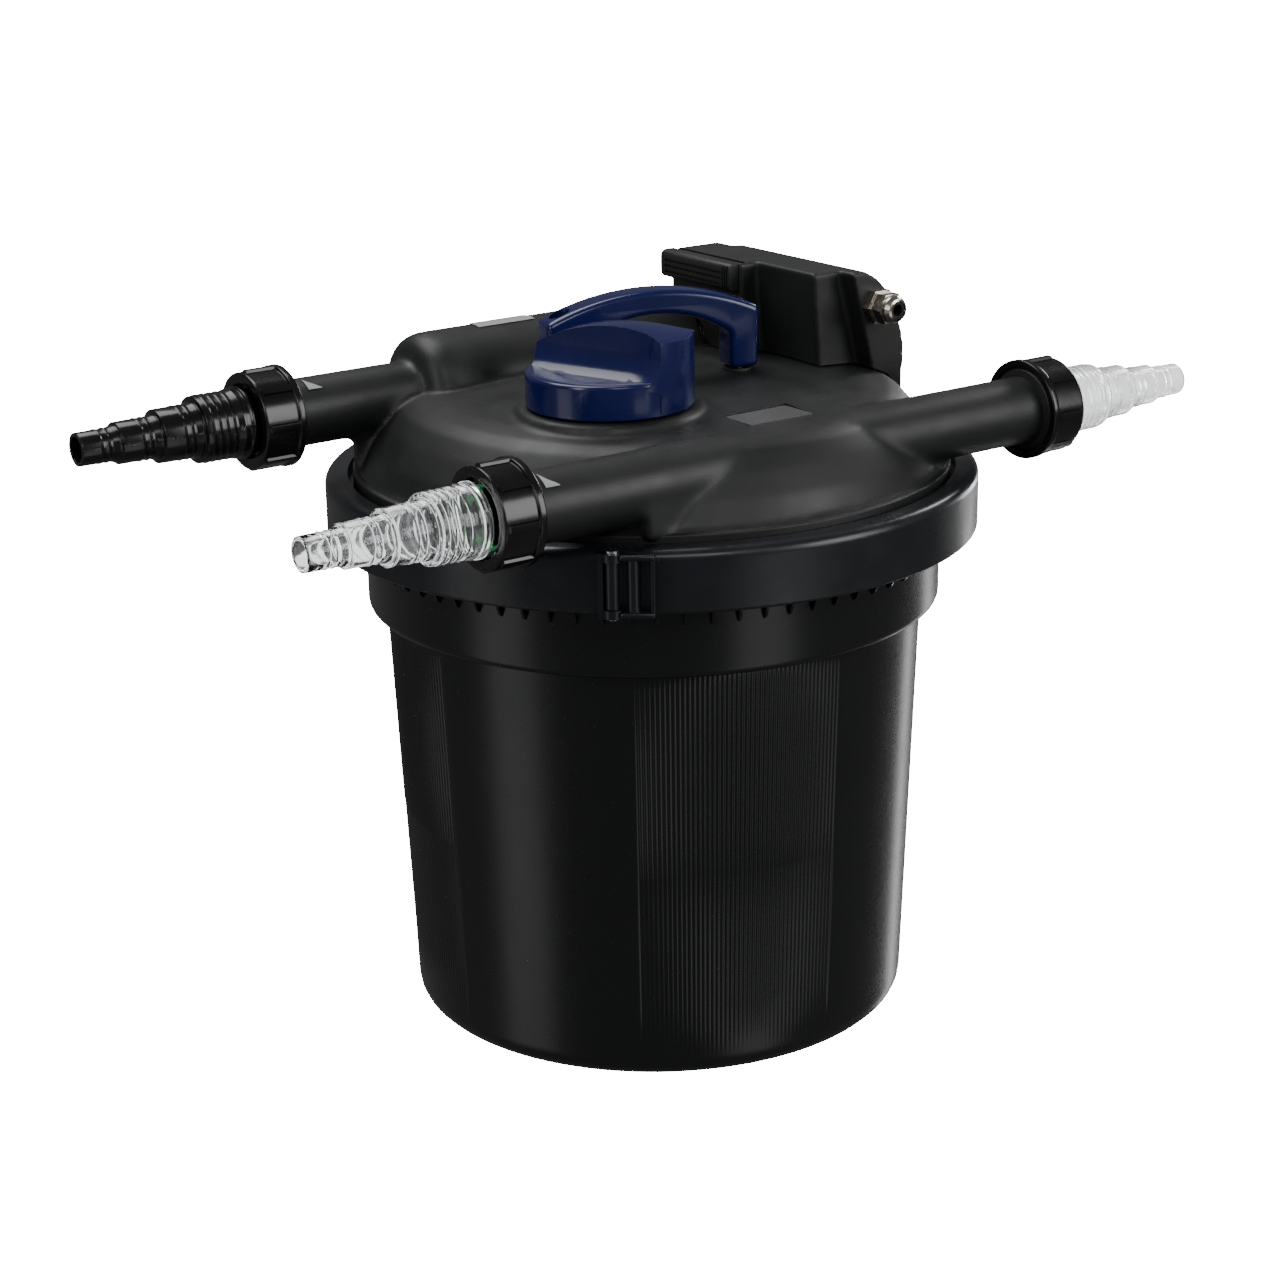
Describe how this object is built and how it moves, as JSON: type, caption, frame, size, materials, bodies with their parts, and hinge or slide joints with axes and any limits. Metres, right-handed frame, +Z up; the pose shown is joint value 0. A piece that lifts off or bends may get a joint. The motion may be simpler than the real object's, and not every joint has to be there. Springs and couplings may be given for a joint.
{
  "type": "pressure pond filter",
  "caption": "Pressure filter for a pond: foam-filled drum with clamped lid, selector knob, foam-cleaning handle, UV clarifier head and stepped hose tails on union nuts.",
  "frame": {"origin": "centre of the drum's bottom face, on the surface that it stands on", "axes": "+Z up the drum's axis; +X along the outlet and inlet pipes, towards the UV head's end; -Y is the side with the outlet pipe"},
  "size_m": [0.6557, 0.4, 0.451],
  "materials": {
    "drum_plastic": "satin moulded, finely ribbed",
    "ring_plastic": "satin",
    "lid_plastic": "satin moulded",
    "gloss_black_plastic": "gloss",
    "blue_plastic": "gloss",
    "clear_plastic": "clear moulded",
    "frosted_plastic": "milky clear moulded",
    "inner_plastic": "matte",
    "label_plastic": "satin blank label",
    "stainless_steel": "brushed",
    "nickel": "nickel plated",
    "black_rubber": "matte",
    "green_rubber": "matte",
    "blue_foam": "open-cell foam",
    "quartz_glass": "clear",
    "socket_ceramic": "matte",
    "board_resin": "satin"
  },
  "bodies": {
    "vessel": {"drum": "drum_plastic", "lid_seal": "black_rubber", "clamp_ring": "ring_plastic", "latch_bracket": "ring_plastic", "latch_pin": "stainless_steel", "latch_strike": "ring_plastic", "lid": "lid_plastic", "label_plate": "label_plastic", "outlet_left_hose_tail": "clear_plastic", "outlet_left_gasket": "green_rubber", "outlet_right_hose_tail": "frosted_plastic", "outlet_right_gasket": "black_rubber", "inlet_hose_tail": "gloss_black_plastic", "inlet_gasket": "black_rubber", "shaft_seal": "black_rubber", "valve_body": "inner_plastic", "rod_bushes": "inner_plastic", "top_grid": "inner_plastic", "grid_posts": "inner_plastic", "centre_tube": "inner_plastic", "foam_ring_1": "blue_foam", "foam_ring_2": "blue_foam", "foam_ring_3": "blue_foam", "foam_ring_4": "blue_foam", "quartz_sleeve": "quartz_glass", "sleeve_seal": "black_rubber", "sleeve_holder": "inner_plastic"},
    "ring_latch": {"latch_lever": "ring_plastic"},
    "left_nut": {"outlet_left_union_nut": "gloss_black_plastic"},
    "right_nut": {"outlet_right_union_nut": "gloss_black_plastic"},
    "inlet_nut": {"inlet_union_nut": "gloss_black_plastic"},
    "selector": {"selector_knob": "blue_plastic", "selector_shaft": "inner_plastic", "valve_rotor": "inner_plastic", "rotor_screw": "stainless_steel"},
    "foam_lift": {"handle": "blue_plastic", "handle_screws": "stainless_steel", "pull_rods": "stainless_steel", "rod_nuts": "stainless_steel", "squeeze_plate": "inner_plastic"},
    "uv_head": {"uv_head_housing": "lid_plastic", "board_posts": "inner_plastic", "uv_lamp": "quartz_glass", "lamp_socket": "socket_ceramic", "ballast_board": "board_resin", "gland_body": "nickel", "gland_insert": "black_rubber"},
    "head_button": {"release_button": "lid_plastic"},
    "cable_gland_nut": {"gland_nut": "nickel"}
  },
  "joints": [
    {"name": "ring_latch_hinge", "type": "hinge", "parent": "vessel", "child": "ring_latch", "pos_m": [-0.13751, -0.15301, 0.3245], "axis": [0, 0, -1], "range_deg": [0, 110]},
    {"name": "selector_turn", "type": "hinge", "parent": "vessel", "child": "selector", "pos_m": [-0.065, -0.05, 0.4], "axis": [0, 0, 1], "range_deg": [0, 90]},
    {"name": "foam_squeeze", "type": "slide", "parent": "vessel", "child": "foam_lift", "axis": [0, 0, 1], "range_m": [0, 0.09], "stiffness_N_per_m": 500, "deforming": ["foam_ring_1", "foam_ring_2", "foam_ring_3", "foam_ring_4"]},
    {"name": "left_nut_turn", "type": "hinge", "parent": "vessel", "child": "left_nut", "pos_m": [-0.2, -0.131, 0.37], "axis": [-1, 0, 0], "range_deg": [0, 600]},
    {"name": "right_nut_turn", "type": "hinge", "parent": "vessel", "child": "right_nut", "pos_m": [0.2, -0.131, 0.37], "axis": [1, 0, 0], "range_deg": [0, 600]},
    {"name": "inlet_nut_turn", "type": "hinge", "parent": "vessel", "child": "inlet_nut", "pos_m": [-0.2217, 0.088, 0.386], "axis": [-1, 0, 0], "range_deg": [0, 600]},
    {"name": "uv_head_pull", "type": "slide", "parent": "vessel", "child": "uv_head", "axis": [1, 0, 0], "range_m": [0, 0.2]},
    {"name": "release_button_press", "type": "slide", "parent": "uv_head", "child": "head_button", "axis": [1, 0, 0], "range_m": [0, 0.002], "stiffness_N_per_m": 400},
    {"name": "gland_nut_turn", "type": "hinge", "parent": "uv_head", "child": "cable_gland_nut", "pos_m": [0.135, -0.0525, 0.429], "axis": [0, -1, 0], "range_deg": [0, 540]}
  ]
}
